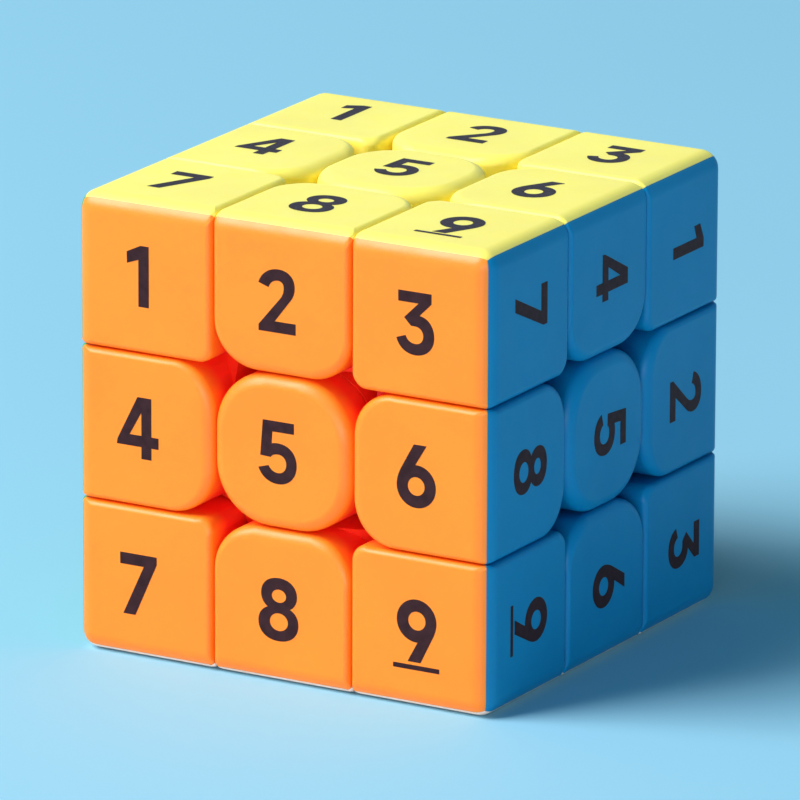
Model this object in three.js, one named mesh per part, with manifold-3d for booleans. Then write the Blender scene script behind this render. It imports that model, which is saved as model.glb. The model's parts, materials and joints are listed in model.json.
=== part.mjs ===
import * as THREE from "three";
import { mergeVertices } from "three/addons/utils/BufferGeometryUtils.js";
import Module from "manifold-3d";

// A three by three by three turning puzzle whose tiles carry digits, in millimetres.
// The origin is the middle of the bottom face. Right is +X, back is +Y and top is +Z.

// Outside of the cube
const CUBE_SIZE = 56;
const PLAY = 0.35; // running gap between neighbouring pieces
const EDGE_RADIUS = 2; // outer edges of the cube
const RIM_RADIUS = 0.9; // rim of every tile
const CENTRE_CORNER = 7.2; // the four round corners of a centre tile
const EDGE_CORNER = 5.6; // the two round corners of an edge tile
const CORNER_CORNER = 1.8; // the one round corner of a corner tile
const WALL = 1.6; // plastic wall of the hollow pieces
const VENT_RADIUS = 1.2; // opening of a hollow piece, through its foot

// Feet and grooves that lock the pieces together
const NECK = 3.8; // groove beyond the inner point of a corner piece
const HOOK = 2.7; // reach of a foot behind its neighbours
const LIP = 8; // ball of the feet beyond the groove

// Core, centres and their tension stacks
const ARM_RADIUS = 3.2;
const BEARING = 2.6; // length of arm inside its centre body
const STEM_FLOOR = 1.65; // floor between the arm and the spring
const SEAT = 0.3; // gap between pieces that are stacked or plugged together
const WELL_RADIUS = 3.6;
const BOSS_WALL = 1.4; // tube round the well, which the cap plugs on
const SOCKET_WALL = 1.2; // ring under the cap, round the boss
const CAP_DEPTH = 6;
const CAP_TOP = 1.8;
const COIL_RADIUS = 2.4; // middle of the wire
const WIRE_RADIUS = 0.35;
const SPRING_LENGTH = 6.2;
const SPRING_TURNS = 4;
const WASHER_RADIUS = 3.2;
const WASHER_THICKNESS = 0.6;
const SCREW_RADIUS = 1.25;
const SCREW_BITE = 5.6; // length of screw inside the arm
const SCREW_POINT = 0.6; // tapered end
const HEAD_RADIUS = 2.7;
const HEAD_HEIGHT = 1.7;
const HEAD_CHAMFER = 0.6;
const RECESS_LENGTH = 3.2;
const RECESS_WIDTH = 0.8;
const RECESS_DEPTH = 1;

// Facets
const LAYER_FACETS = 24;
const BALL_FACETS = 20;
const ROUND_FACETS = 14;
const VENT_FACETS = 8;
const ARC_STEPS = 3;
const HOLLOW_STEPS = 1;
const RIM_STEPS = 1;
const WIRE_SIDES = 5;
const STEPS_PER_TURN = 8;

// Sizes that follow from the ones above, measured from the middle of the cube
const HALF = CUBE_SIZE / 2;
const CUT = CUBE_SIZE / 6;
const FAR = CUBE_SIZE;
const TILE_LOW = CUT + PLAY / 2;
const TILE_HALF = CUT - PLAY / 2;
const GROOVE_RADIUS = CUT * Math.SQRT2 + NECK;
const GROOVE_FLOOR = CUT - HOOK;
const FEET_RADIUS = GROOVE_RADIUS + LIP;
const HUB_RADIUS = GROOVE_FLOOR - PLAY;
const ARM_END = GROOVE_FLOOR + BEARING;
const WELL_FLOOR = ARM_END + PLAY + STEM_FLOOR;
const SPRING_START = WELL_FLOOR + SEAT;
const WASHER_START = SPRING_START + SPRING_LENGTH + SEAT;
const HEAD_START = WASHER_START + WASHER_THICKNESS + SEAT;
const HEAD_END = HEAD_START + HEAD_HEIGHT;
const SCREW_TIP = ARM_END - SCREW_BITE;
const SCREW_HOLE = SCREW_RADIUS + SEAT;
const TRAY_FLOOR = GROOVE_RADIUS + PLAY / 2 + WALL;
const BOSS_RADIUS = WELL_RADIUS + BOSS_WALL;
const CAP_SEAT = HALF - CAP_DEPTH;
const CAP_CEILING = HALF - CAP_TOP;

// The turn that takes +Z to each face's outward direction, and the face's colour
const QUARTER = Math.PI / 2;
const FACES = {
  top: { turn: [0, 0, 0], colour: 0xf4ee6a },
  bottom: { turn: [Math.PI, 0, 0], colour: 0xf1f1ee },
  front: { turn: [QUARTER, 0, 0], colour: 0xff9a3c },
  back: { turn: [-QUARTER, 0, 0], colour: 0xd8362c },
  right: { turn: [0, QUARTER, 0], colour: 0x1a6aa6 },
  left: { turn: [0, -QUARTER, 0], colour: 0x2fa556 },
};

const wasm = await Module();
wasm.setup();

// A closed geometry as a solid that can be cut and joined.
function solidOf(geometry) {
  const bare = new THREE.BufferGeometry();
  bare.setAttribute("position", geometry.getAttribute("position"));
  bare.setIndex(geometry.index);
  const merged = mergeVertices(bare, 1e-4);
  const corners = merged.index.array;
  const kept = [];
  for (let i = 0; i < corners.length; i += 3) {
    const [a, b, c] = corners.slice(i, i + 3);
    if (a !== b && b !== c && c !== a) kept.push(a, b, c);
  }
  return new wasm.Manifold(
    new wasm.Mesh({
      numProp: 3,
      vertProperties: merged.attributes.position.array,
      triVerts: new Uint32Array(kept),
    }),
  );
}

function geometryOf(solid) {
  const mesh = solid.getMesh();
  const geometry = new THREE.BufferGeometry();
  geometry.setAttribute("position", new THREE.BufferAttribute(mesh.vertProperties, 3));
  geometry.setIndex(new THREE.BufferAttribute(mesh.triVerts, 1));
  geometry.computeVertexNormals();
  return geometry;
}

function turnTo(face) {
  return new THREE.Matrix4().makeRotationFromEuler(new THREE.Euler(...FACES[face].turn));
}

// A solid of revolution about +Z from [radius, height] pairs, listed from the bottom up.
function revolved(profile, facets) {
  const points = profile.map(([radius, height]) => new THREE.Vector2(radius, height));
  return new THREE.LatheGeometry(points, facets).rotateX(QUARTER);
}

function rod(radius, start, end, facets = ROUND_FACETS) {
  return revolved([[0, start], [radius, start], [radius, end], [0, end]], facets);
}

function ring(inner, outer, start, end) {
  return revolved(
    [[inner, start], [outer, start], [outer, end], [inner, end], [inner, start]],
    ROUND_FACETS,
  );
}

function block(low, high) {
  const size = new THREE.Vector3().subVectors(high, low);
  const middle = new THREE.Vector3().addVectors(high, low).multiplyScalar(0.5);
  return new THREE.BoxGeometry(size.x, size.y, size.z).translate(middle.x, middle.y, middle.z);
}

// Everything beyond a height, or everything up to it.
function above(height) {
  return solidOf(block(new THREE.Vector3(-FAR, -FAR, height), new THREE.Vector3(FAR, FAR, FAR)));
}

function below(height) {
  return solidOf(block(new THREE.Vector3(-FAR, -FAR, -FAR), new THREE.Vector3(FAR, FAR, height)));
}

// A tile's outline, counter-clockwise from its lower left corner, each corner with its own radius.
function tileOutline(left, right, low, high, radii) {
  const shape = new THREE.Shape();
  const corners = [
    [left, low, 1, 1],
    [right, low, -1, 1],
    [right, high, -1, -1],
    [left, high, 1, -1],
  ];
  corners.forEach(([x, y, inX, inY], i) => {
    const radius = Math.min(radii[i], (right - left) / 2 - PLAY);
    const start = Math.PI + i * QUARTER;
    if (radius > 0) shape.absarc(x + inX * radius, y + inY * radius, radius, start, start + QUARTER);
    else if (i === 0) shape.moveTo(x, y);
    else shape.lineTo(x, y);
  });
  return shape;
}

// A straight prism between two heights, and a tile's prism with its rim rounded at the cube's face.
function prism(outline, start, end) {
  const options = { depth: end - start, bevelEnabled: false, curveSegments: HOLLOW_STEPS };
  return new THREE.ExtrudeGeometry(outline, options).translate(0, 0, start);
}

function rimmedPrism(outline) {
  return new THREE.ExtrudeGeometry(outline, {
    depth: HALF - RIM_RADIUS,
    curveSegments: ARC_STEPS,
    bevelSize: RIM_RADIUS,
    bevelThickness: RIM_RADIUS,
    bevelOffset: -RIM_RADIUS,
    bevelSegments: RIM_STEPS,
  });
}

// The space that turns with a face: beyond the cut outside the groove, deeper inside it, and
// clear of the arm. A positive inset shrinks it, a negative one grows it.
function layer(face, inset) {
  const bore = ARM_RADIUS + PLAY / 2 + inset;
  const groove = GROOVE_RADIUS - inset;
  const profile = [
    [0, ARM_END + PLAY / 2 + inset],
    [bore, ARM_END + PLAY / 2 + inset],
    [bore, GROOVE_FLOOR + inset],
    [groove, GROOVE_FLOOR + inset],
    [groove, CUT + inset],
    [FAR, CUT + inset],
    [FAR, FAR],
    [0, FAR],
  ];
  return solidOf(revolved(profile, LAYER_FACETS).applyMatrix4(turnTo(face)));
}

const inside = (face) => layer(face, PLAY / 2);
const outside = (face) => layer(face, -PLAY / 2);

// The whole cube with its twelve edges rounded
function cubeEnvelope() {
  const radii = [EDGE_RADIUS, EDGE_RADIUS, EDGE_RADIUS, EDGE_RADIUS];
  const bar = prism(tileOutline(-HALF, HALF, -HALF, HALF, radii), -FAR, FAR);
  const alongY = bar.clone().applyMatrix4(turnTo("back"));
  const alongX = bar.clone().applyMatrix4(turnTo("right"));
  return solidOf(bar).intersect(solidOf(alongX)).intersect(solidOf(alongY));
}

const envelope = cubeEnvelope();
const feetBall = solidOf(new THREE.SphereGeometry(FEET_RADIUS, BALL_FACETS, BALL_FACETS / 2));

// A vent from the middle of the cube into a hollow piece that lies along a direction
function vent(direction, length) {
  const up = new THREE.Vector3(0, 0, 1);
  const turn = new THREE.Quaternion().setFromUnitVectors(up, direction.clone().normalize());
  return solidOf(rod(VENT_RADIUS, 0, length, VENT_FACETS).applyQuaternion(turn));
}

// The corner piece of the right, back and top layers
function cornerPiece() {
  const cycle = new THREE.Matrix4().set(0, 0, 1, 0, 1, 0, 0, 0, 0, 1, 0, 0, 0, 0, 0, 1);
  const tileZ = rimmedPrism(tileOutline(TILE_LOW, FAR, TILE_LOW, FAR, [CORNER_CORNER, 0, 0, 0]));
  const tileX = tileZ.clone().applyMatrix4(cycle);
  const tileY = tileX.clone().applyMatrix4(cycle);
  const low = TILE_LOW + WALL;
  const high = HALF - WALL;
  const hollow = block(new THREE.Vector3(low, low, low), new THREE.Vector3(high, high, high));
  return solidOf(tileZ)
    .intersect(solidOf(tileX))
    .intersect(solidOf(tileY))
    .add(feetBall)
    .intersect(inside("right"))
    .intersect(inside("back"))
    .intersect(inside("top"))
    .intersect(envelope)
    .subtract(solidOf(hollow))
    .subtract(vent(new THREE.Vector3(1, 1, 1), HALF));
}

// The edge piece between the back and top faces
function edgePiece() {
  const swap = new THREE.Matrix4().set(-1, 0, 0, 0, 0, 0, 1, 0, 0, 1, 0, 0, 0, 0, 0, 1);
  const radii = [EDGE_CORNER, EDGE_CORNER, 0, 0];
  const tileZ = rimmedPrism(tileOutline(-TILE_HALF, TILE_HALF, TILE_LOW, FAR, radii));
  const tileY = tileZ.clone().applyMatrix4(swap);
  const half = TILE_HALF - WALL;
  const low = TILE_LOW + WALL;
  const high = HALF - WALL;
  const hollowRadii = [EDGE_CORNER - WALL, EDGE_CORNER - WALL, 0, 0];
  const hollowZ = prism(tileOutline(-half, half, low, high, hollowRadii), low, high);
  const hollowY = hollowZ.clone().applyMatrix4(swap);
  return solidOf(tileZ)
    .intersect(solidOf(tileY))
    .add(feetBall)
    .intersect(inside("back"))
    .intersect(inside("top"))
    .subtract(outside("left"))
    .subtract(outside("right"))
    .intersect(envelope)
    .subtract(solidOf(hollowZ).intersect(solidOf(hollowY)))
    .subtract(vent(new THREE.Vector3(0, 1, 1), HALF));
}

// The centre of the top face, which is then parted into its body and its cap
function centreOutline(inset) {
  const half = TILE_HALF - inset;
  const radius = CENTRE_CORNER - inset;
  return tileOutline(-half, half, -half, half, [radius, radius, radius, radius]);
}

function centrePiece() {
  return solidOf(rimmedPrism(centreOutline(0)))
    .intersect(inside("top"))
    .subtract(outside("front"))
    .subtract(outside("back"))
    .subtract(outside("left"))
    .subtract(outside("right"));
}

function centreBody(centre) {
  const tray = prism(centreOutline(WALL), TRAY_FLOOR, HALF);
  const boss = rod(BOSS_RADIUS, TRAY_FLOOR - WALL / 2, CAP_CEILING - SEAT);
  return centre
    .intersect(below(CAP_SEAT - SEAT))
    .subtract(solidOf(tray))
    .add(solidOf(boss))
    .subtract(solidOf(rod(WELL_RADIUS, WELL_FLOOR, HALF)))
    .subtract(solidOf(rod(SCREW_HOLE, 0, HALF)));
}

function centreCap(centre) {
  const pocket = prism(centreOutline(WALL), 0, CAP_CEILING);
  const bore = BOSS_RADIUS + SEAT;
  const socket = ring(bore, bore + SOCKET_WALL, CAP_SEAT, CAP_CEILING + CAP_TOP / 2);
  return centre.intersect(above(CAP_SEAT)).subtract(solidOf(pocket)).add(solidOf(socket));
}

// The hub with an arm for each face and a hole for each screw
function corePiece() {
  const arm = rod(ARM_RADIUS, 0, ARM_END);
  const hole = rod(SCREW_HOLE, SCREW_TIP - SEAT, FAR);
  let core = solidOf(new THREE.SphereGeometry(HUB_RADIUS, ROUND_FACETS, ROUND_FACETS / 2));
  for (const face of Object.keys(FACES)) core = core.add(solidOf(arm.clone().applyMatrix4(turnTo(face))));
  for (const face of Object.keys(FACES)) core = core.subtract(solidOf(hole.clone().applyMatrix4(turnTo(face))));
  return core;
}

function screwPiece() {
  const blank = revolved(
    [
      [0, SCREW_TIP],
      [SCREW_RADIUS / 2, SCREW_TIP],
      [SCREW_RADIUS, SCREW_TIP + SCREW_POINT],
      [SCREW_RADIUS, HEAD_START],
      [HEAD_RADIUS, HEAD_START],
      [HEAD_RADIUS, HEAD_END - HEAD_CHAMFER],
      [HEAD_RADIUS - HEAD_CHAMFER, HEAD_END],
      [0, HEAD_END],
    ],
    ROUND_FACETS,
  );
  const slot = new THREE.BoxGeometry(RECESS_LENGTH, RECESS_WIDTH, RECESS_DEPTH * 2).translate(0, 0, HEAD_END);
  const crossSlot = slot.clone().rotateZ(QUARTER);
  return solidOf(blank).subtract(solidOf(slot)).subtract(solidOf(crossSlot));
}

// The middle line of the spring's wire
class CoilCurve extends THREE.Curve {
  getPoint(t, target = new THREE.Vector3()) {
    const angle = 2 * Math.PI * SPRING_TURNS * t;
    const start = SPRING_START + WIRE_RADIUS;
    const rise = SPRING_LENGTH - 2 * WIRE_RADIUS;
    return target.set(COIL_RADIUS * Math.cos(angle), COIL_RADIUS * Math.sin(angle), start + rise * t);
  }
}

// The least gap between one turn of a wire and the next, measured on points of its middle line
function leastGap(curve, pointsPerTurn) {
  const points = curve.getPoints(pointsPerTurn * SPRING_TURNS);
  let least = Infinity;
  for (let i = 0; i < points.length; i += 1) {
    for (let j = i + pointsPerTurn / 2; j < points.length; j += 1) {
      least = Math.min(least, points[i].distanceTo(points[j]) - 2 * WIRE_RADIUS);
    }
  }
  return least;
}

function springGeometry() {
  const curve = new CoilCurve();
  const section = new THREE.Shape();
  for (let i = 0; i < WIRE_SIDES; i += 1) {
    const angle = (2 * Math.PI * i) / WIRE_SIDES;
    const point = [WIRE_RADIUS * Math.cos(angle), WIRE_RADIUS * Math.sin(angle)];
    if (i === 0) section.moveTo(...point);
    else section.lineTo(...point);
  }
  console.log("least gap between turns of a spring: " + leastGap(curve, 24).toFixed(2) + " mm");
  const options = { extrudePath: curve, steps: STEPS_PER_TURN * SPRING_TURNS, bevelEnabled: false };
  return new THREE.ExtrudeGeometry(section, options);
}

function plastic(colour) {
  return new THREE.MeshStandardMaterial({ color: colour, roughness: 0.35, metalness: 0 });
}

function steel() {
  return new THREE.MeshStandardMaterial({ color: 0xb9bcc0, roughness: 0.3, metalness: 1 });
}

function mesh(name, geometry, material) {
  const made = new THREE.Mesh(geometry, material);
  made.name = name;
  return made;
}

const cube = new THREE.Group();
cube.position.z = HALF;

cube.add(mesh("core", geometryOf(corePiece()), plastic(0xe4e4e0)));

// Each face's centre and tension stack
const centre = centrePiece();
const bodyGeometry = geometryOf(centreBody(centre));
const capGeometry = geometryOf(centreCap(centre));
const screwGeometry = geometryOf(screwPiece());
const coilGeometry = springGeometry();
const washerGeometry = ring(SCREW_HOLE, WASHER_RADIUS, WASHER_START, WASHER_START + WASHER_THICKNESS);
for (const [face, { turn, colour }] of Object.entries(FACES)) {
  const stack = new THREE.Group();
  stack.rotation.set(...turn);
  stack.add(
    mesh(face + "_centre_body", bodyGeometry, plastic(colour)),
    mesh(face + "_centre_cap", capGeometry, plastic(colour)),
    mesh(face + "_spring", coilGeometry, steel()),
    mesh(face + "_washer", washerGeometry, steel()),
    mesh(face + "_screw", screwGeometry, steel()),
  );
  cube.add(stack);
}

// A copy of a piece, tipped out of its first place and then turned by quarters about +Z
function placed(name, geometry, colour, tip, quarters) {
  const turned = new THREE.Group();
  const tipped = new THREE.Group();
  turned.rotation.z = quarters * QUARTER;
  tipped.rotation.set(...tip);
  tipped.add(mesh(name, geometry, plastic(colour)));
  turned.add(tipped);
  return turned;
}

const UPRIGHT = [0, 0, 0];
const UPSIDE_DOWN = [Math.PI, 0, 0];
const ON_ITS_SIDE = [0, QUARTER, 0];

const cornerGeometry = geometryOf(cornerPiece());
const CORNERS = [
  ["corner_top_back_right", "top", UPRIGHT, 0],
  ["corner_top_back_left", "top", UPRIGHT, 1],
  ["corner_top_front_left", "top", UPRIGHT, 2],
  ["corner_top_front_right", "top", UPRIGHT, 3],
  ["corner_bottom_front_right", "bottom", UPSIDE_DOWN, 0],
  ["corner_bottom_back_right", "bottom", UPSIDE_DOWN, 1],
  ["corner_bottom_back_left", "bottom", UPSIDE_DOWN, 2],
  ["corner_bottom_front_left", "bottom", UPSIDE_DOWN, 3],
];
for (const [name, face, tip, quarters] of CORNERS) {
  cube.add(placed(name, cornerGeometry, FACES[face].colour, tip, quarters));
}

const edgeGeometry = geometryOf(edgePiece());
const EDGES = [
  ["edge_top_back", "top", UPRIGHT, 0],
  ["edge_top_left", "top", UPRIGHT, 1],
  ["edge_top_front", "top", UPRIGHT, 2],
  ["edge_top_right", "top", UPRIGHT, 3],
  ["edge_bottom_front", "bottom", UPSIDE_DOWN, 0],
  ["edge_bottom_right", "bottom", UPSIDE_DOWN, 1],
  ["edge_bottom_back", "bottom", UPSIDE_DOWN, 2],
  ["edge_bottom_left", "bottom", UPSIDE_DOWN, 3],
  ["edge_back_right", "back", ON_ITS_SIDE, 0],
  ["edge_back_left", "back", ON_ITS_SIDE, 1],
  ["edge_front_left", "front", ON_ITS_SIDE, 2],
  ["edge_front_right", "front", ON_ITS_SIDE, 3],
];
for (const [name, face, tip, quarters] of EDGES) {
  cube.add(placed(name, edgeGeometry, FACES[face].colour, tip, quarters));
}

const model = new THREE.Group();
model.add(cube);

export default model;
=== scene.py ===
import json
import math

import bmesh
import bpy
from mathutils import Matrix, Vector


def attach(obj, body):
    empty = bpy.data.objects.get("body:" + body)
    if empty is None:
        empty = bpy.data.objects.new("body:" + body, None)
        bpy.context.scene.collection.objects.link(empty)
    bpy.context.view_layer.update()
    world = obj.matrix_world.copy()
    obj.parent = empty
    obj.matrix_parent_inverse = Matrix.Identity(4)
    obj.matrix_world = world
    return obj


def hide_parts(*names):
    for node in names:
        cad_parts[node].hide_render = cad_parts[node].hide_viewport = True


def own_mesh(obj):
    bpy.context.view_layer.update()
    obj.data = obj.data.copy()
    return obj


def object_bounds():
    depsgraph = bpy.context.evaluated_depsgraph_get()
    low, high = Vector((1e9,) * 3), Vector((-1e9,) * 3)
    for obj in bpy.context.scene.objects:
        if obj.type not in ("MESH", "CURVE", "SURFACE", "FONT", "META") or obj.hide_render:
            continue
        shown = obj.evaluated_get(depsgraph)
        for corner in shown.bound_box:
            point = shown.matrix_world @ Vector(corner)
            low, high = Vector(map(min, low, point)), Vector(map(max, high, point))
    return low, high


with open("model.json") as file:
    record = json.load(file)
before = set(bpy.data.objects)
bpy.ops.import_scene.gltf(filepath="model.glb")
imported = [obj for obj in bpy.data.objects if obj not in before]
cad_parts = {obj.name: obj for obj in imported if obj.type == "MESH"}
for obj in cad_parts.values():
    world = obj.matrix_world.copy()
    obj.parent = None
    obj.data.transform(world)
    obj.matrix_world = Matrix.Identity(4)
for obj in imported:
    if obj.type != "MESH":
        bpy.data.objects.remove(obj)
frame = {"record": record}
cad_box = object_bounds()

# A turning puzzle cube with a digit on every tile. Sizes are in millimetres from the cube's middle.
MM = 0.001
QUARTER = math.pi / 2

# Outside of the cube
CUBE_SIZE = round((cad_box[1][0] - cad_box[0][0]) / MM, 3)
PLAY = 0.35  # running gap between neighbouring pieces
EDGE_RADIUS = 2.3  # outer edges of the cube
TILE_GAP = 0.2  # seam between neighbouring tiles
RIM_RADIUS = 0.75  # rim of a tile along a seam
WIDE_RIM = 1.6  # rim of a tile where it turns to a gap
CENTRE_CORNER = 7.2  # the four round corners of a centre tile
EDGE_CORNER = 5.6  # the two round corners of an edge tile
CORNER_CORNER = 1.8  # the one round corner of a corner tile
CORNER_WIDE = 0.6  # share of the widening that a corner tile's rim has
WIDE_FADE = 0.5  # power by which an edge tile's rim narrows from the gap
WALL = 1.6

# Feet and grooves that lock the pieces together
NECK = 3.8  # groove beyond the inner point of a corner piece
HOOK = 2.7  # reach of a foot behind its neighbours
LIP = 8.0  # ball of the feet beyond the groove

# Core, centres and their tension stacks
ARM_RADIUS = 3.2
BEARING = 2.6  # length of arm inside its centre body
STEM_FLOOR = 1.65  # floor between the arm and the spring
SEAT = 0.3  # gap between pieces that are stacked or plugged together
WELL_RADIUS = 3.6
BOSS_WALL = 1.4  # tube round the well, which the cap plugs on
SOCKET_WALL = 1.2  # ring under the cap, round the boss
CAP_DEPTH = 6.0
CAP_TOP = 1.8
COIL_RADIUS = 2.4  # middle of the wire
WIRE_RADIUS = 0.35
SPRING_LENGTH = 6.2
SPRING_TURNS = 4
WASHER_RADIUS = 3.2
WASHER_THICKNESS = 0.6
WASHER_BEVEL = 0.12
SCREW_RADIUS = 1.25
SCREW_ROOT = 1.0  # radius between the ridges of the thread
THREAD_PITCH = 0.7
SCREW_BITE = 5.6  # length of screw inside the arm
SCREW_POINT = 0.6  # tapered end
HEAD_RADIUS = 2.7
HEAD_HEIGHT = 1.7
HEAD_FLAT = 0.55  # share of its radius that is flat on top
HEAD_SIDE = 0.4  # share of its height that is straight
RECESS_LENGTH = 3.2
RECESS_WIDTH = 0.8
RECESS_DEPTH = 1.0

# One turn of the thread: a share of the pitch, and the radius there
THREAD_TURN = ((0.2, SCREW_ROOT), (0.5, SCREW_RADIUS), (0.6, SCREW_RADIUS), (0.9, SCREW_ROOT))

# Ink of the digits: how far it stands on its tile and how far it sinks in
INK_PROUD = 0.03
INK_SUNK = 0.03

# Facets, and how near two points or edges are to count as one
RIM_SEGMENTS = 8
CORNER_SEGMENTS = 14
LAYER_FACETS = 96
BALL_FACETS = 64
ROUND_FACETS = 48
WIRE_SIDES = 12
STEPS_PER_TURN = 32
CURVE_STEPS = 12
HOLE_STEPS = 40
SMOOTH_ANGLE = math.radians(32)
STRAIGHT_ANGLE = math.radians(0.1)
WELD = 0.002
INK_WELD = 0.0001
NEAR = 0.001

# Sizes that follow from the ones above
HALF = CUBE_SIZE / 2
CUT = CUBE_SIZE / 6
PITCH = CUBE_SIZE / 3
FAR = CUBE_SIZE
TILE_LOW = CUT + TILE_GAP / 2
TILE_HALF = CUT - TILE_GAP / 2
GROOVE_RADIUS = CUT * math.sqrt(2) + NECK
GROOVE_FLOOR = CUT - HOOK
FEET_RADIUS = GROOVE_RADIUS + LIP
HUB_RADIUS = GROOVE_FLOOR - PLAY
ARM_END = GROOVE_FLOOR + BEARING
WELL_FLOOR = ARM_END + PLAY + STEM_FLOOR
SPRING_START = WELL_FLOOR + SEAT
WASHER_START = SPRING_START + SPRING_LENGTH + SEAT
HEAD_START = WASHER_START + WASHER_THICKNESS + SEAT
HEAD_END = HEAD_START + HEAD_HEIGHT
SCREW_TIP = ARM_END - SCREW_BITE
SCREW_HOLE = SCREW_RADIUS + SEAT
TRAY_FLOOR = GROOVE_RADIUS + PLAY / 2 + WALL
BOSS_RADIUS = WELL_RADIUS + BOSS_WALL
CAP_SEAT = HALF - CAP_DEPTH
CAP_CEILING = HALF - CAP_TOP

# Each face: the directions of its digits' right and up, its outward direction and its colour
FACES = {
    "top": {"axes": ((1, 0, 0), (0, 1, 0), (0, 0, 1)), "colour": "yellow"},
    "bottom": {"axes": ((1, 0, 0), (0, -1, 0), (0, 0, -1)), "colour": "white"},
    "front": {"axes": ((1, 0, 0), (0, 0, 1), (0, -1, 0)), "colour": "orange"},
    "back": {"axes": ((-1, 0, 0), (0, 0, 1), (0, 1, 0)), "colour": "red"},
    "right": {"axes": ((0, 0, -1), (0, 1, 0), (1, 0, 0)), "colour": "blue"},
    "left": {"axes": ((0, -1, 0), (0, 0, 1), (-1, 0, 0)), "colour": "green"},
}

# Plastic colours, linear: that of the tiles, that of the walls inside the gaps (painted shade and
# bounce light), and the shine
COLOURS = {
    "yellow": ((0.99, 0.86, 0.16), (0.99, 0.93, 0.18), 0.5),
    "white": ((0.84, 0.85, 0.84), (0.84, 0.84, 0.8), 0.5),
    "orange": ((0.98, 0.26, 0.016), (0.99, 0.05, 0.02), 0.5),
    "red": ((0.6, 0.022, 0.02), (0.6, 0.01, 0.01), 0.25),
    "blue": ((0.0, 0.235, 0.56), (0.0, 0.13, 0.42), 0.2),
    "green": ((0.012, 0.36, 0.08), (0.003, 0.28, 0.05), 0.25),
}
CORE_COLOUR = (0.7, 0.7, 0.68)
CORE_SHINE = 0.25
INK_COLOUR = (0.032, 0.015, 0.02)
INK_SHINE = 0.08
STEEL_DARK = (0.6, 0.61, 0.63)
STEEL_LIGHT = (0.72, 0.73, 0.75)

# Depths under a face, in millimetres, between which its colour turns into that of the walls, a painted
# shade and bounce light in the gaps
PAINTED_GAP_DEPTHS = (0.9, 4.0)

# Noise: the scale per metre, the detail and, for streaks, the stretch
NOISE = {
    "plastic_cloud": (70, 3),
    "plastic_smear": (260, 5),
    "plastic_grain": (2600, 2),
    "ink_cloud": (900, 4),
    "ink_smear": (2400, 3),
    "ink_grain": (5200, 2),
    "steel_cloud": (400, 4),
    "steel_streak": (900, 4, (1, 1, 6)),
    "floor_cloud": (3, 2),
}
CLOUD_SPAN = (0.35, 0.65)
SMEAR_SPAN = (0.3, 0.7)
WEAR_SPAN = (0.52, 0.6)

# How far the clouding changes a colour, down and up
PLASTIC_CLOUD = (0.97, 1.03)
INK_CLOUD = (0.85, 1.2)
FLOOR_CLOUD = (0.98, 1.02)

# Roughness, and the change that smears and worn rims make to it
TILE_ROUGHNESS = 0.43
CORE_ROUGHNESS = 0.45
PLASTIC_SMEAR = (-0.04, 0.05)
PLASTIC_POLISH = -0.06
INK_ROUGHNESS = (0.38, 0.52)
STEEL_ROUGHNESS = (0.2, 0.38)
FLOOR_ROUGHNESS = 0.8
FLOOR_SHINE = 0.15

# Depth of the grain and reach of the scattering, in metres, and the share that scatters
PLASTIC_GRAIN = 0.000001
INK_GRAIN = 0.000002
STEEL_GRAIN = 0.000006
SCATTER_SHARE = 0.35
SCATTER_REACH = 0.0012

# Stage and lights, in metres and watts
FLOOR_COLOUR = (0.27, 0.585, 0.805)
FLOOR_BOUNCE = (0.7, 0.66, 0.64)
FLOOR_REACH = 4.0
FLOOR_DROP = 0.00005
FLOOR_FACETS = 64
WORLD_COLOUR = (0.32, 0.9, 1.04)
WORLD_STRENGTH = 0.18
BACKGROUND = (0.29, 0.62, 0.85)
LAMP_DISTANCE = 2.0
LAMPS = {
    "key": {
        "direction": (-0.52, -0.47, 0.71), "size": (1.2, 1.2), "power": 65, "colour": (1.0, 0.91, 0.85),
    },
    "fill": {
        "direction": (0.5, -0.85, 0.12), "size": (1.2, 0.4), "power": 14.5, "colour": (1.0, 0.98, 0.95),
    },
}
BOUNCES = 16

# Camera, in metres, with its focal length in pixels of the square image
CAMERA_AZIMUTH = math.radians(30.19)
CAMERA_ELEVATION = math.radians(16.13)
CAMERA_ROLL = math.radians(0.2)
CAMERA_DISTANCE = 1.2815
CAMERA_AIM = (-0.0001, -0.00016, 0.02772)
IMAGE_PIXELS = 800
FOCAL_PIXELS = 10834.6
SENSOR = 36.0


# Meshes

def mesh_of(bm):
    mesh = bpy.data.meshes.new("made")
    bm.normal_update()
    bm.to_mesh(mesh)
    bm.free()
    return mesh


def evaluated(mesh, prepare):
    """The mesh after the modifiers that prepare(object) adds to an object that holds it."""
    holder = bpy.data.objects.new("holder", mesh)
    bpy.context.scene.collection.objects.link(holder)
    prepare(holder)
    graph = bpy.context.evaluated_depsgraph_get()
    made = bpy.data.meshes.new_from_object(holder.evaluated_get(graph))
    bpy.data.objects.remove(holder)
    return made


def combined(first, second, operation):
    tool = bpy.data.objects.new("tool", second)
    bpy.context.scene.collection.objects.link(tool)

    def prepare(holder):
        boolean = holder.modifiers.new("boolean", "BOOLEAN")
        boolean.operation = operation
        boolean.solver = "MANIFOLD"
        boolean.object = tool

    made = evaluated(first, prepare)
    bpy.data.objects.remove(tool)
    return made


def meet(first, *others):
    for other in others:
        first = combined(first, other, "INTERSECT")
    return first


def join(first, *others):
    for other in others:
        first = combined(first, other, "UNION")
    return first


def cut(first, *others):
    for other in others:
        first = combined(first, other, "DIFFERENCE")
    return first


def turned(mesh, matrix):
    copy = mesh.copy()
    copy.transform(matrix.to_4x4())
    return copy


def box(low, high):
    bm = bmesh.new()
    made = bmesh.ops.create_cube(bm, size=1)["verts"]
    for vert in made:
        vert.co = [high[i] if vert.co[i] > 0 else low[i] for i in range(3)]
    return mesh_of(bm)


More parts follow.
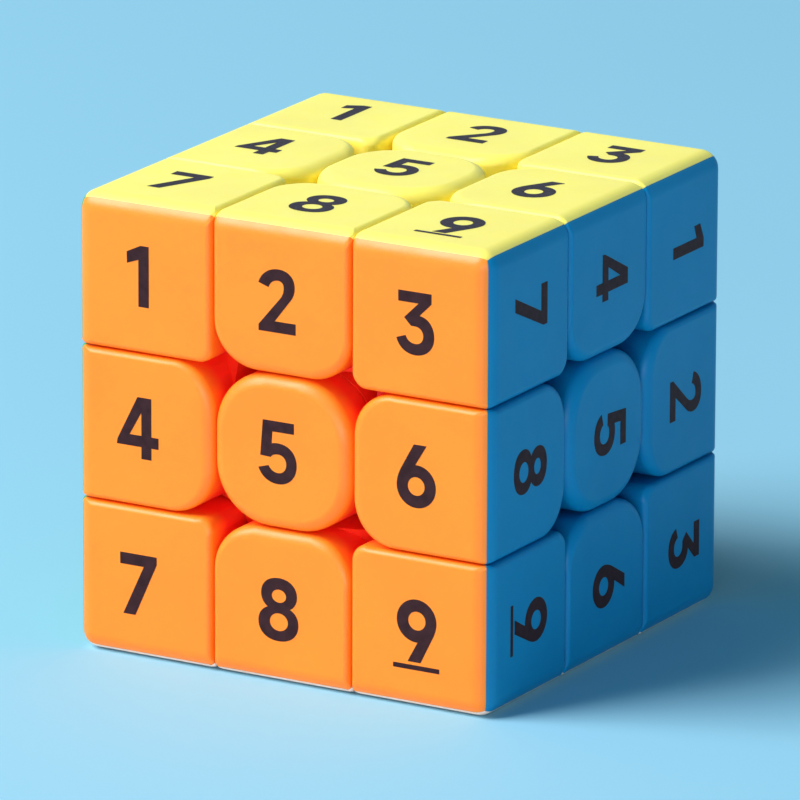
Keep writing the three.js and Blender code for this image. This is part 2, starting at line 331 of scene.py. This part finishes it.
def lofted(rings, closed=False):
    """A closed skin over rings of points, flat at both ends, or joined end to start."""
    bm = bmesh.new()
    rows = [[bm.verts.new(point) for point in ring] for ring in rings]
    pairs = list(zip(rows, rows[1:]))
    if closed:
        pairs.append((rows[-1], rows[0]))
    count = len(rows[0])
    for lower, upper in pairs:
        for i in range(count):
            j = (i + 1) % count
            bm.faces.new((lower[i], lower[j], upper[j], upper[i]))
    if not closed:
        bm.faces.new(list(reversed(rows[0])))
        bm.faces.new(rows[-1])
    bmesh.ops.recalc_face_normals(bm, faces=bm.faces)
    return mesh_of(bm)


def circle(radius, height, facets):
    steps = [2 * math.pi * i / facets for i in range(facets)]
    return [Vector((radius * math.cos(a), radius * math.sin(a), height)) for a in steps]


def revolved(profile, facets=ROUND_FACETS, closed=False):
    """A solid of revolution about Z from (radius, height) pairs, none of them on the axis."""
    return lofted([circle(radius, height, facets) for radius, height in profile], closed)


def rod(radius, start, end):
    return revolved([(radius, start), (radius, end)])


def tube(inner, outer, start, end):
    return revolved([(inner, start), (outer, start), (outer, end), (inner, end)], closed=True)


def ball(radius, facets):
    bm = bmesh.new()
    bmesh.ops.create_uvsphere(bm, u_segments=facets, v_segments=facets // 2, radius=radius)
    return mesh_of(bm)


def rounded_square(half, radius, height):
    points = []
    for corner in range(4):
        start = corner * QUARTER
        middle = half - radius
        across = middle if corner in (0, 3) else -middle
        along = middle if corner in (0, 1) else -middle
        for step in range(CORNER_SEGMENTS + 1):
            angle = start + QUARTER * step / CORNER_SEGMENTS
            x = across + radius * math.cos(angle)
            y = along + radius * math.sin(angle)
            points.append(Vector((x, y, height)))
    return points


def bevelled(mesh, radius_of, segments):
    """The mesh with its edges rounded to the radius that radius_of(edge's two ends) gives."""
    radii = [radius_of(*[mesh.vertices[i].co for i in edge.vertices]) for edge in mesh.edges]
    widest = max(radii)
    weights = mesh.attributes.new("bevel_weight_edge", "FLOAT", "EDGE")
    weights.data.foreach_set("value", [radius / widest for radius in radii])

    def prepare(holder):
        bevel = holder.modifiers.new("bevel", "BEVEL")
        bevel.limit_method = "WEIGHT"
        bevel.width = widest
        bevel.segments = segments
        bevel.use_clamp_overlap = False

    made = evaluated(mesh, prepare)
    made.attributes.remove(made.attributes["bevel_weight_edge"])
    return made


def welded(mesh):
    """The mesh without the slivers and the needless points on straight edges that a cut can leave."""
    bm = bmesh.new()
    bm.from_mesh(mesh)
    bmesh.ops.remove_doubles(bm, verts=bm.verts, dist=WELD)
    bmesh.ops.dissolve_degenerate(bm, edges=bm.edges, dist=WELD)
    on_edges = [vert for vert in bm.verts if len(vert.link_edges) == 2]
    needless = [vert for vert in on_edges if vert.calc_edge_angle() < STRAIGHT_ANGLE]
    bmesh.ops.dissolve_verts(bm, verts=needless)
    return mesh_of(bm)


def finished(mesh):
    """Welded, smooth where the angle is small, with normals that keep the flats flat."""
    mesh = welded(mesh)
    mesh.shade_smooth()
    mesh.set_sharp_from_angle(angle=SMOOTH_ANGLE)

    def prepare(holder):
        normals = holder.modifiers.new("normals", "WEIGHTED_NORMAL")
        normals.keep_sharp = True
        normals.weight = 100

    return evaluated(mesh, prepare)


def halved(mesh, normal):
    """What lies on the normal's side of a plane through the middle of the cube, closed at the cut."""
    turn = Vector((0, 0, 1)).rotation_difference(Vector(normal)).to_matrix()
    return meet(mesh, turned(box((-FAR, -FAR, 0), (FAR, FAR, FAR)), turn))


# Masters of the pieces, each on the top face

def face_matrix(face):
    return Matrix(FACES[face]["axes"]).transposed()


def layer(face, inset):
    """The space that turns with a face. A positive inset shrinks it, a negative one grows it."""
    bore = ARM_RADIUS + PLAY / 2 + inset
    reach = GROOVE_RADIUS - inset
    profile = [
        (bore, ARM_END + PLAY / 2 + inset),
        (bore, GROOVE_FLOOR + inset),
        (reach, GROOVE_FLOOR + inset),
        (reach, CUT + inset),
        (FAR, CUT + inset),
        (FAR, FAR),
    ]
    return turned(revolved(profile, LAYER_FACETS), face_matrix(face))


def inside(face):
    return layer(face, PLAY / 2)


def outside(face):
    return layer(face, -PLAY / 2)


def groove(face):
    """The room that the feet of a face's pieces need inside their neighbours."""
    return turned(rod(GROOVE_RADIUS + PLAY / 2, GROOVE_FLOOR - PLAY / 2, CUT), face_matrix(face))


def near(value, target):
    return abs(value - target) < NEAR


def rim_radius(first, second, wide_share):
    """An edge's rounding: that of the cube's own edges, that of a tile's rim, or none."""
    on_faces = [near(first[i], HALF) and near(second[i], HALF) for i in range(3)]
    if sum(on_faces) != 1:
        return EDGE_RADIUS if any(on_faces) else 0
    middle = (first + second) / 2
    return RIM_RADIUS + (WIDE_RIM - RIM_RADIUS) * wide_share(middle, on_faces.index(True))


def rimmed(mesh, wide_share):
    return bevelled(mesh, lambda first, second: rim_radius(first, second, wide_share), RIM_SEGMENTS)


def corner_side_radius(first, second):
    middle = (first + second) / 2
    return CORNER_CORNER if sum(near(value, TILE_LOW) for value in middle) == 2 else 0


def corner_wide_share(middle, face):
    along = [middle[i] - TILE_LOW for i in range(3) if i != face]
    return CORNER_WIDE * (1 - min(1, max(along) / CORNER_CORNER))


def corner_shell():
    """The top face's share of the corner piece at the right, back and top."""
    block = bevelled(box((TILE_LOW,) * 3, (HALF,) * 3), corner_side_radius, CORNER_SEGMENTS)
    block = rimmed(block, corner_wide_share)
    foot = meet(ball(FEET_RADIUS, BALL_FACETS), inside("right"), inside("back"), inside("top"))
    return finished(halved(halved(join(block, foot), (-1, 0, 1)), (0, -1, 1)))


def edge_side_radius(first, second):
    middle = (first + second) / 2
    inner = sum(near(value, TILE_LOW) for value in middle.yz)
    return EDGE_CORNER if inner == 1 and near(abs(middle.x), TILE_HALF) else 0


def edge_wide_share(middle, face):
    along = middle[3 - face] - TILE_LOW
    return 1 - min(1, along / EDGE_CORNER) ** WIDE_FADE


def edge_shell():
    """The top face's share of the edge piece at the back and top."""
    low = (-TILE_HALF, TILE_LOW, TILE_LOW)
    block = bevelled(box(low, (TILE_HALF, HALF, HALF)), edge_side_radius, CORNER_SEGMENTS)
    block = rimmed(block, edge_wide_share)
    block = cut(block, groove("left"), groove("right"))
    foot = meet(ball(FEET_RADIUS, BALL_FACETS), inside("back"), inside("top"))
    foot = cut(foot, outside("left"), outside("right"))
    return finished(halved(join(block, foot), (0, -1, 1)))


def centre_ring(inset, height):
    return rounded_square(TILE_HALF - inset, CENTRE_CORNER - inset, height)


def centre_cap():
    rings = [centre_ring(WALL, CAP_SEAT), centre_ring(0, CAP_SEAT)]
    for step in range(RIM_SEGMENTS + 1):
        angle = QUARTER * step / RIM_SEGMENTS
        inset = WIDE_RIM * (1 - math.cos(angle))
        rings.append(centre_ring(inset, HALF - WIDE_RIM * (1 - math.sin(angle))))
    shell = lofted([centre_ring(WALL, CAP_CEILING)] + rings)
    bore = BOSS_RADIUS + SEAT
    socket = tube(bore, bore + SOCKET_WALL, CAP_SEAT, CAP_CEILING + CAP_TOP / 2)
    return finished(join(shell, socket))


def centre_body():
    rim = CAP_SEAT - SEAT
    block = meet(lofted([centre_ring(0, 0), centre_ring(0, rim)]), inside("top"))
    block = cut(block, outside("front"), outside("back"), outside("left"), outside("right"))
    block = cut(block, lofted([centre_ring(WALL, TRAY_FLOOR), centre_ring(WALL, HALF)]))
    block = join(block, rod(BOSS_RADIUS, TRAY_FLOOR - WALL / 2, CAP_CEILING - SEAT))
    return finished(cut(block, rod(WELL_RADIUS, WELL_FLOOR, HALF), rod(SCREW_HOLE, 0, HALF)))


def core():
    made = ball(HUB_RADIUS, ROUND_FACETS)
    arm = revolved([(ARM_RADIUS, 0), (ARM_RADIUS, ARM_END - SEAT), (ARM_RADIUS - SEAT, ARM_END)])
    hole = rod(SCREW_HOLE, SCREW_TIP - SEAT, FAR)
    made = join(made, *[turned(arm, face_matrix(face)) for face in FACES])
    return finished(cut(made, *[turned(hole, face_matrix(face)) for face in FACES]))


def screw():
    profile = [(SCREW_RADIUS / 2, SCREW_TIP), (SCREW_ROOT, SCREW_TIP + SCREW_POINT)]
    height = SCREW_TIP + SCREW_POINT
    while height + THREAD_PITCH < ARM_END:
        profile += [(radius, height + THREAD_PITCH * share) for share, radius in THREAD_TURN]
        height += THREAD_PITCH
    profile += [(SCREW_ROOT, HEAD_START), (HEAD_RADIUS, HEAD_START)]
    for step in range(RIM_SEGMENTS + 1):
        angle = QUARTER * step / RIM_SEGMENTS
        radius = HEAD_RADIUS * (HEAD_FLAT + (1 - HEAD_FLAT) * math.cos(angle))
        rise = HEAD_HEIGHT * (HEAD_SIDE + (1 - HEAD_SIDE) * math.sin(angle))
        profile.append((radius, HEAD_START + rise))
    blank = revolved(profile)
    reach = RECESS_LENGTH / 2
    width = RECESS_WIDTH / 2
    floor = HEAD_END - RECESS_DEPTH
    slot = box((-reach, -width, floor), (reach, width, FAR))
    cross = box((-width, -reach, floor), (width, reach, FAR))
    return finished(cut(blank, slot, cross))


def washer():
    end = WASHER_START + WASHER_THICKNESS
    profile = [
        (SCREW_HOLE, WASHER_START),
        (WASHER_RADIUS - WASHER_BEVEL, WASHER_START),
        (WASHER_RADIUS, WASHER_START + WASHER_BEVEL),
        (WASHER_RADIUS, end - WASHER_BEVEL),
        (WASHER_RADIUS - WASHER_BEVEL, end),
        (SCREW_HOLE, end),
    ]
    return finished(revolved(profile, closed=True))


def spring():
    steps = SPRING_TURNS * STEPS_PER_TURN
    rise = SPRING_LENGTH - 2 * WIRE_RADIUS
    around = [2 * math.pi * side / WIRE_SIDES for side in range(WIRE_SIDES)]
    up = Vector((0, 0, 1))
    rings = []
    for i in range(steps + 1):
        angle = 2 * math.pi * SPRING_TURNS * i / steps
        outward = Vector((math.cos(angle), math.sin(angle), 0))
        middle = outward * COIL_RADIUS
        middle.z = SPRING_START + WIRE_RADIUS + rise * i / steps
        spokes = [outward * math.cos(a) + up * math.sin(a) for a in around]
        rings.append([middle + WIRE_RADIUS * spoke for spoke in spokes])
    return finished(lofted(rings))


# Digits. A path starts at its first point; a pair is a straight line, and six numbers are a curve
# with its two handles. A hole is the middle and the two radii of an ellipse.
DIGITS = {
    1: {"paths": [[
        (-2.14, 2.95), (-0.25, 3.84), (0.86, 3.84), (0.86, -3.55),
        (-0.55, -3.55), (-0.55, 2.12), (-2.1, 1.55),
    ]]},
    2: {"paths": [[
        (-2.91, 1.79),
        (-2.55, 2.9, -1.55, 3.65, -0.2, 3.65),
        (1.12, 3.65, 1.97, 2.85, 1.97, 1.7),
        (1.97, 0.95, 1.72, 0.45, 1.29, -0.07),
        (-0.72, -2.64), (2.11, -2.64), (2.11, -3.98), (-2.89, -3.98), (-2.89, -3.25),
        (0.05, 0.2),
        (0.4, 0.65, 0.5, 1.05, 0.5, 1.5),
        (0.5, 2.0, 0.2, 2.29, -0.25, 2.29),
        (-0.9, 2.29, -1.35, 1.95, -1.53, 1.35),
    ]]},
    3: {"paths": [[
        (-2.84, 3.56), (1.57, 3.56), (1.57, 2.36), (-0.02, 0.78),
        (1.15, 0.7, 1.95, -0.3, 1.95, -1.62),
        (1.95, -3.0, 0.9, -3.98, -0.52, -3.98),
        (-1.75, -3.98, -2.75, -3.3, -3.07, -2.15),
        (-1.85, -1.73),
        (-1.65, -2.3, -1.2, -2.64, -0.55, -2.64),
        (0.1, -2.64, 0.5, -2.2, 0.5, -1.62),
        (0.5, -0.95, 0.0, -0.53, -0.65, -0.53),
        (-1.14, -0.53), (-2.05, 0.38), (-0.14, 2.25), (-2.84, 2.25),
    ]]},
    4: {"paths": [[
        (-0.74, 4.12), (1.15, 4.12), (1.15, -0.54), (2.13, -0.54), (2.13, -1.9), (1.15, -1.9),
        (1.15, -3.35), (-0.21, -3.35), (-0.21, -1.9), (-3.58, -1.9), (-3.5, -1.3),
    ], [
        (-1.83, -0.54), (-0.21, 2.3), (-0.21, -0.54),
    ]]},
    5: {"paths": [[
        (-2.32, 3.99), (1.88, 3.99), (1.88, 2.71), (-1.03, 2.71), (-1.14, 1.22),
        (-0.85, 1.32, -0.6, 1.36, -0.3, 1.36),
        (1.2, 1.36, 2.25, 0.4, 2.25, -1.05),
        (2.25, -2.55, 1.2, -3.58, -0.25, -3.58),
        (-1.5, -3.58, -2.5, -2.95, -2.91, -1.85),
        (-1.55, -1.45),
        (-1.3, -1.95, -0.85, -2.25, -0.25, -2.25),
        (0.4, -2.25, 0.86, -1.75, 0.86, -1.08),
        (0.86, -0.45, 0.4, 0.02, -0.25, 0.02),
        (-0.7, 0.02, -1.05, -0.12, -1.25, -0.42),
        (-2.66, -0.35),
    ]]},
    6: {"paths": [[
        (-0.7, 3.99), (1.0, 3.99), (-0.5, 1.54),
        (1.09, 1.6, 2.25, 0.45, 2.25, -1.05),
        (2.25, -2.49, 1.09, -3.62, -0.35, -3.62),
        (-1.79, -3.62, -2.96, -2.49, -2.96, -1.05),
        (-2.96, -0.35, -2.72, 0.35, -2.32, 1.08),
    ]], "holes": [(-0.36, -1.02, 1.12, 1.12)]},
    7: {"paths": [[
        (-3.19, 3.55), (1.83, 3.55), (1.83, 2.62), (-1.12, -3.93),
        (-2.78, -3.93), (0.06, 2.14), (-3.19, 2.14),
    ]]},
    8: {"paths": [[
        (-0.12, 3.68),
        (1.35, 3.68, 2.31, 2.85, 2.31, 1.62),
        (2.31, 0.95, 1.95, 0.35, 1.36, 0.02),
        (2.1, -0.3, 2.5, -0.95, 2.5, -1.75),
        (2.5, -3.15, 1.45, -4.02, -0.2, -4.02),
        (-1.85, -4.02, -2.91, -3.15, -2.91, -1.75),
        (-2.91, -0.95, -2.45, -0.3, -1.65, 0.02),
        (-2.2, 0.35, -2.55, 0.95, -2.55, 1.62),
        (-2.55, 2.85, -1.6, 3.68, -0.12, 3.68),
    ]], "holes": [(-0.13, 1.48, 0.97, 0.8), (-0.14, -1.69, 1.23, 1.08)]},
    9: {"paths": [[
        (-0.24, 4.0),
        (1.2, 4.0, 2.41, 2.85, 2.41, 1.4),
        (2.41, 0.7, 2.15, 0.05, 1.75, -0.7),
        (0.3, -3.62), (-1.43, -3.62), (-0.1, -1.2),
        (-1.65, -1.25, -2.89, -0.1, -2.89, 1.4),
        (-2.89, 2.85, -1.7, 4.0, -0.24, 4.0),
    ], [
        (-3.36, -4.0), (2.82, -4.0), (2.82, -4.57), (-3.36, -4.57),
    ]], "holes": [(-0.2, 1.41, 1.16, 1.14)]},
}

# How far the printing of a face is off that of the front, right and up, by row and by column
PRINT_SHIFT = {
    "top": {
        "row": ((0.2, 0.0), (0.1, 0.0), (-0.2, 0.0)),
        "column": ((0.0, 0.5), (0.0, 0.2), (0.0, -0.1)),
    },
    "right": {
        "row": ((0.65, 0.3), (0.45, 0.25), (0.05, 0.4)),
        "column": ((0.0, 0.0), (0.0, 0.0), (0.0, 0.0)),
    },
}


def traced(path):
    points = [Vector(path[0])]
    for step in path[1:]:
        if len(step) == 2:
            points.append(Vector(step))
            continue
        start = points[-1]
        first, second, end = Vector(step[0:2]), Vector(step[2:4]), Vector(step[4:6])
        for i in range(1, CURVE_STEPS + 1):
            t = i / CURVE_STEPS
            s = 1 - t
            points.append(start * s**3 + first * 3 * s * s * t + second * 3 * s * t * t + end * t**3)
    if (points[0] - points[-1]).length < INK_WELD:
        points.pop()
    return points


def ellipse(across, along, wide, high):
    steps = [2 * math.pi * i / HOLE_STEPS for i in range(HOLE_STEPS)]
    return [Vector((across + wide * math.cos(a), along + high * math.sin(a))) for a in steps]


def digit_mesh(digit):
    """A digit's ink about the middle of its tile, as a thin closed plate at the height of the face."""
    outlines = [traced(path) for path in digit["paths"]]
    outlines += [ellipse(*hole) for hole in digit.get("holes", ())]
    curve = bpy.data.curves.new("ink", "CURVE")
    curve.dimensions = "2D"
    curve.fill_mode = "BOTH"
    curve.extrude = (INK_PROUD + INK_SUNK) / 2
    for outline in outlines:
        spline = curve.splines.new("POLY")
        spline.points.add(len(outline) - 1)
        for point, place in zip(spline.points, outline):
            point.co = (place.x, place.y, 0, 1)
        spline.use_cyclic_u = True
    mesh = evaluated(curve, lambda holder: None)
    bpy.data.curves.remove(curve)
    bm = bmesh.new()
    bm.from_mesh(mesh)
    bmesh.ops.remove_doubles(bm, verts=bm.verts, dist=INK_WELD)
    bmesh.ops.translate(bm, verts=bm.verts, vec=(0, 0, HALF + (INK_PROUD - INK_SUNK) / 2))
    bmesh.ops.recalc_face_normals(bm, faces=bm.faces)
    return mesh_of(bm)


# Materials

def node_material(name):
    material = bpy.data.materials.new(name)
    material.use_nodes = True
    tree = material.node_tree
    shader = tree.nodes["Principled BSDF"]
    return material, tree, shader


def noise(tree, scale, detail, stretch=None):
    """Noise in the piece's own coordinates, in metres, so that it moves with the piece."""
    place = tree.nodes.new("ShaderNodeTexCoord").outputs["Object"]
    if stretch:
        mapping = tree.nodes.new("ShaderNodeMapping")
        mapping.inputs["Scale"].default_value = stretch
        tree.links.new(place, mapping.inputs["Vector"])
        place = mapping.outputs["Vector"]
    texture = tree.nodes.new("ShaderNodeTexNoise")
    texture.inputs["Scale"].default_value = scale
    texture.inputs["Detail"].default_value = detail
    tree.links.new(place, texture.inputs["Vector"])
    return texture.outputs["Fac"]


def mapped(tree, value, start, end, low, high, clamp=True):
    node = tree.nodes.new("ShaderNodeMapRange")
    node.clamp = clamp
    node.inputs["From Min"].default_value = start
    node.inputs["From Max"].default_value = end
    node.inputs["To Min"].default_value = low
    node.inputs["To Max"].default_value = high
    tree.links.new(value, node.inputs["Value"])
    return node.outputs["Result"]


def mixed(tree, factor, first, second):
    """A mix of two colours, each of them a plain one or another node's output."""
    node = tree.nodes.new("ShaderNodeMix")
    node.data_type = "RGBA"
    tree.links.new(factor, node.inputs["Factor"])
    for name, colour in (("A", first), ("B", second)):
        if isinstance(colour, bpy.types.NodeSocket):
            tree.links.new(colour, node.inputs[name])
        else:
            node.inputs[name].default_value = (*colour, 1)
    return node.outputs["Result"]


def summed(tree, first, second):
    node = tree.nodes.new("ShaderNodeMath")
    node.operation = "ADD"
    tree.links.new(first, node.inputs[0])
    tree.links.new(second, node.inputs[1])
    return node.outputs["Value"]


def bumped(tree, shader, height, depth):
    node = tree.nodes.new("ShaderNodeBump")
    node.inputs["Distance"].default_value = depth
    node.inputs["Strength"].default_value = 1
    tree.links.new(height, node.inputs["Height"])
    tree.links.new(node.outputs["Normal"], shader.inputs["Normal"])


def edge_wear(tree):
    """One on sharp outward rims, which handling polishes, and zero on the flats."""
    bend = tree.nodes.new("ShaderNodeNewGeometry").outputs["Pointiness"]
    return mapped(tree, bend, *WEAR_SPAN, 0, 1)


def scaled(colour, factor):
    return tuple(min(1, channel * factor) for channel in colour)


def clouded(tree, kind, dark, light):
    cloud = mapped(tree, noise(tree, *NOISE[kind]), *CLOUD_SPAN, 0, 1)
    return mixed(tree, cloud, dark, light)


def smeared(tree, kind, low, high):
    return mapped(tree, noise(tree, *NOISE[kind]), *SMEAR_SPAN, low, high)


def depth_under(tree, outward):
    """How far a point is under the face of the cube that looks outward, in millimetres."""
    place = tree.nodes.new("ShaderNodeTexCoord").outputs["Object"]
    along = tree.nodes.new("ShaderNodeVectorMath")
    along.operation = "DOT_PRODUCT"
    along.inputs[1].default_value = outward
    tree.links.new(place, along.inputs[0])
    top = HALF * MM * (1 + outward[2])
    return mapped(tree, along.outputs["Value"], top, top - MM, 0, 1, clamp=False)


def moulded_plastic(name, colour, roughness, shine, painted_gap_colour=None, outward=None):
    """Moulded plastic, which can turn under the face that looks outward into a painted colour of shade
    and bounce light.
    """
    material, tree, shader = node_material(name)
    outer = clouded(tree, "plastic_cloud", *[scaled(colour, factor) for factor in PLASTIC_CLOUD])
    if painted_gap_colour:
        # Painted shade and bounce light: below the face the colour turns into the deeper one of the gap
        # walls.
        depth = depth_under(tree, outward)
        outer = mixed(tree, mapped(tree, depth, *PAINTED_GAP_DEPTHS, 0, 1), outer, painted_gap_colour)
    tree.links.new(outer, shader.inputs["Base Color"])
    smear = smeared(tree, "plastic_smear", *[roughness + change for change in PLASTIC_SMEAR])
    polish = mapped(tree, edge_wear(tree), 0, 1, 0, PLASTIC_POLISH)
    tree.links.new(summed(tree, smear, polish), shader.inputs["Roughness"])
    bumped(tree, shader, noise(tree, *NOISE["plastic_grain"]), PLASTIC_GRAIN)
    shader.inputs["Specular IOR Level"].default_value = shine
    shader.inputs["Subsurface Weight"].default_value = SCATTER_SHARE
    shader.inputs["Subsurface Radius"].default_value = colour
    shader.inputs["Subsurface Scale"].default_value = SCATTER_REACH
    return material


def tile_plastic(face):
    """Moulded plastic in a face's colour, with painted shade and bounce light: a deeper colour on the
    walls that go in from its tiles.
    """
    name = FACES[face]["colour"]
    outward = FACES[face]["axes"][2]
    # The second colour is the painted shade and bounce light of the gap walls.
    colour, painted_gap_colour, shine = COLOURS[name]
    return moulded_plastic(name + "_plastic", colour, TILE_ROUGHNESS, shine, painted_gap_colour, outward)


def printed_ink(name):
    material, tree, shader = node_material(name)
    outer = clouded(tree, "ink_cloud", *[scaled(INK_COLOUR, factor) for factor in INK_CLOUD])
    tree.links.new(outer, shader.inputs["Base Color"])
    tree.links.new(smeared(tree, "ink_smear", *INK_ROUGHNESS), shader.inputs["Roughness"])
    bumped(tree, shader, noise(tree, *NOISE["ink_grain"]), INK_GRAIN)
    shader.inputs["Specular IOR Level"].default_value = INK_SHINE
    return material


def plated_steel(name):
    material, tree, shader = node_material(name)
    outer = clouded(tree, "steel_cloud", STEEL_DARK, STEEL_LIGHT)
    tree.links.new(outer, shader.inputs["Base Color"])
    shader.inputs["Metallic"].default_value = 1
    tree.links.new(smeared(tree, "steel_streak", *STEEL_ROUGHNESS), shader.inputs["Roughness"])
    bumped(tree, shader, noise(tree, *NOISE["steel_streak"]), STEEL_GRAIN)
    return material


PLASTICS = {FACES[face]["colour"]: tile_plastic(face) for face in FACES}
CORE_PLASTIC = moulded_plastic("core_plastic", CORE_COLOUR, CORE_ROUGHNESS, CORE_SHINE)
INK = printed_ink("ink")
STEEL = plated_steel("steel")


# Placing

BODY_OF = {
    node: body for body, nodes in frame["record"]["behaviour"]["bodies"].items() for node in nodes
}

# The order of faces in the name of a piece that has several
NAME_ORDER = ("top", "bottom", "front", "back", "left", "right")

# Columns and rows of a face's outer tiles, each a quarter turn on from the one before
CORNER_PLACES = [(1, 1), (-1, 1), (-1, -1), (1, -1)]
EDGE_PLACES = [(0, 1), (-1, 0), (0, -1), (1, 0)]


def placed(name, mesh, matrix, material, body):
    """A copy of a master, turned in the cube's middle and set in the frame."""
    copy = mesh.copy()
    copy.transform(Matrix.Translation((0, 0, HALF * MM)) @ Matrix.Scale(MM, 4) @ matrix.to_4x4())
    copy.materials.clear()
    copy.materials.append(material)
    piece = bpy.data.objects.new(name, copy)
    bpy.context.scene.collection.objects.link(piece)
    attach(piece, body)
    return piece


def face_towards(direction):
    return next(face for face, row in FACES.items() if Vector(row["axes"][2]) == direction)


def faces_of_tile(face, column, row):
    right, up, out = [Vector(axis) for axis in FACES[face]["axes"]]
    directions = [out] + ([right * column] if column else []) + ([up * row] if row else [])
    return {face_towards(direction) for direction in directions}


def node_of_tile(touched):
    if len(touched) == 1:
        return next(iter(touched)) + "_centre_cap"
    kind = "corner" if len(touched) == 3 else "edge"
    return "_".join([kind] + [face for face in NAME_ORDER if face in touched])


def quarters_of_tile(column, row):
    """Quarter turns that take a master at the upper right, or at the top, to its own place."""
    for places in (CORNER_PLACES, EDGE_PLACES):
        if (column, row) in places:
            return places.index((column, row))
    return 0


def print_shift(face, column, row):
    shift = PRINT_SHIFT.get(face)
    if not shift:
        return Vector((0, 0, 0))
    return Vector((*shift["row"][1 - row], 0)) + Vector((*shift["column"][column + 1], 0))


MASTERS = {"corner": corner_shell(), "edge": edge_shell(), "centre": centre_cap()}
DIGIT_MESHES = {value: digit_mesh(digit) for value, digit in DIGITS.items()}

for face, row_of_face in FACES.items():
    colour = row_of_face["colour"]
    for row in (1, 0, -1):
        for column in (-1, 0, 1):
            touched = faces_of_tile(face, column, row)
            node = node_of_tile(touched)
            body = BODY_OF[node]
            kind = ("centre", "edge", "corner")[len(touched) - 1]
            turn = face_matrix(face) @ Matrix.Rotation(quarters_of_tile(column, row) * QUARTER, 3, "Z")
            shell = placed(
                f"{node}.{face}_shell", MASTERS[kind], turn, PLASTICS[colour], body
            )
            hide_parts(node)
            value = (1 - row) * 3 + column + 2
            middle = Vector((column * PITCH, row * PITCH, 0)) + print_shift(face, column, row)
            spot = face_matrix(face).to_4x4() @ Matrix.Translation(middle)
            placed(f"digit_{face}_{value}", DIGIT_MESHES[value], spot, INK, body)

INNER = {
    "centre_body": (centre_body(), None),
    "spring": (spring(), STEEL),
    "washer": (washer(), STEEL),
    "screw": (screw(), STEEL),
}
for face, row_of_face in FACES.items():
    colour = row_of_face["colour"]
    for part, (mesh, material) in INNER.items():
        node = f"{face}_{part}"
        piece = placed(
            node + "_fine", mesh, face_matrix(face), material or PLASTICS[colour], BODY_OF[node]
        )
        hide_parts(node)
        if part == "spring":
            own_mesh(piece)

fine_core = placed(
    "core_fine", core(), Matrix.Identity(3), CORE_PLASTIC, BODY_OF["core"]
)
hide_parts("core")


# Stage, lights and camera

def seen_ray(tree):
    """One where a ray shows the surface, straight or mirrored, and zero where it only lights."""
    path = tree.nodes.new("ShaderNodeLightPath")
    mirrored = summed(tree, path.outputs["Is Glossy Ray"], path.outputs["Is Transmission Ray"])
    return summed(tree, path.outputs["Is Camera Ray"], mirrored)


def make_floor():
    bm = bmesh.new()
    bmesh.ops.create_circle(bm, cap_ends=True, radius=FLOOR_REACH, segments=FLOOR_FACETS)
    bmesh.ops.translate(bm, vec=(0, 0, -FLOOR_DROP), verts=bm.verts)
    floor = bpy.data.objects.new("floor", mesh_of(bm))
    material, tree, shader = node_material("floor")
    seen = clouded(tree, "floor_cloud", *[scaled(FLOOR_COLOUR, factor) for factor in FLOOR_CLOUD])
    tree.links.new(mixed(tree, seen_ray(tree), FLOOR_BOUNCE, seen), shader.inputs["Base Color"])
    shader.inputs["Roughness"].default_value = FLOOR_ROUGHNESS
    shader.inputs["Specular IOR Level"].default_value = FLOOR_SHINE
    floor.data.materials.append(material)
    bpy.context.scene.collection.objects.link(floor)


def make_world():
    world = bpy.data.worlds.new("studio")
    world.use_nodes = True
    tree = world.node_tree
    light = tree.nodes["Background"]
    light.inputs["Color"].default_value = (*WORLD_COLOUR, 1)
    light.inputs["Strength"].default_value = WORLD_STRENGTH
    seen = tree.nodes.new("ShaderNodeBackground")
    seen.inputs["Color"].default_value = (*BACKGROUND, 1)
    choice = tree.nodes.new("ShaderNodeMixShader")
    tree.links.new(seen_ray(tree), choice.inputs["Fac"])
    tree.links.new(light.outputs["Background"], choice.inputs[1])
    tree.links.new(seen.outputs["Background"], choice.inputs[2])
    tree.links.new(choice.outputs["Shader"], tree.nodes["World Output"].inputs["Surface"])
    bpy.context.scene.world = world


def make_lamp(name, direction, size, power, colour):
    lamp = bpy.data.lights.new(name, "AREA")
    lamp.shape = "RECTANGLE"
    lamp.size, lamp.size_y = size
    lamp.energy = power
    lamp.color = colour
    made = bpy.data.objects.new(name, lamp)
    towards = Vector(direction).normalized()
    made.location = Vector((0, 0, HALF * MM)) + towards * LAMP_DISTANCE
    made.rotation_euler = towards.to_track_quat("Z", "Y").to_euler()
    bpy.context.scene.collection.objects.link(made)


def make_camera():
    camera = bpy.data.cameras.new("camera")
    camera.sensor_width = SENSOR
    camera.lens = SENSOR * FOCAL_PIXELS / IMAGE_PIXELS
    made = bpy.data.objects.new("camera", camera)
    level = math.cos(CAMERA_ELEVATION)
    away = Vector((
        level * math.sin(CAMERA_AZIMUTH),
        -level * math.cos(CAMERA_AZIMUTH),
        math.sin(CAMERA_ELEVATION),
    ))
    made.location = Vector(CAMERA_AIM) + away * CAMERA_DISTANCE
    upright = away.to_track_quat("Z", "Y")
    made.rotation_euler = (upright.to_matrix() @ Matrix.Rotation(CAMERA_ROLL, 3, "Z")).to_euler()
    bpy.context.scene.collection.objects.link(made)
    bpy.context.scene.camera = made


make_floor()
make_world()
for lamp_name, lamp_facts in LAMPS.items():
    make_lamp(lamp_name, **lamp_facts)
make_camera()
bpy.context.scene.view_settings.view_transform = "Standard"
bpy.context.scene.cycles.max_bounces = BOUNCES
bpy.context.scene.cycles.diffuse_bounces = BOUNCES
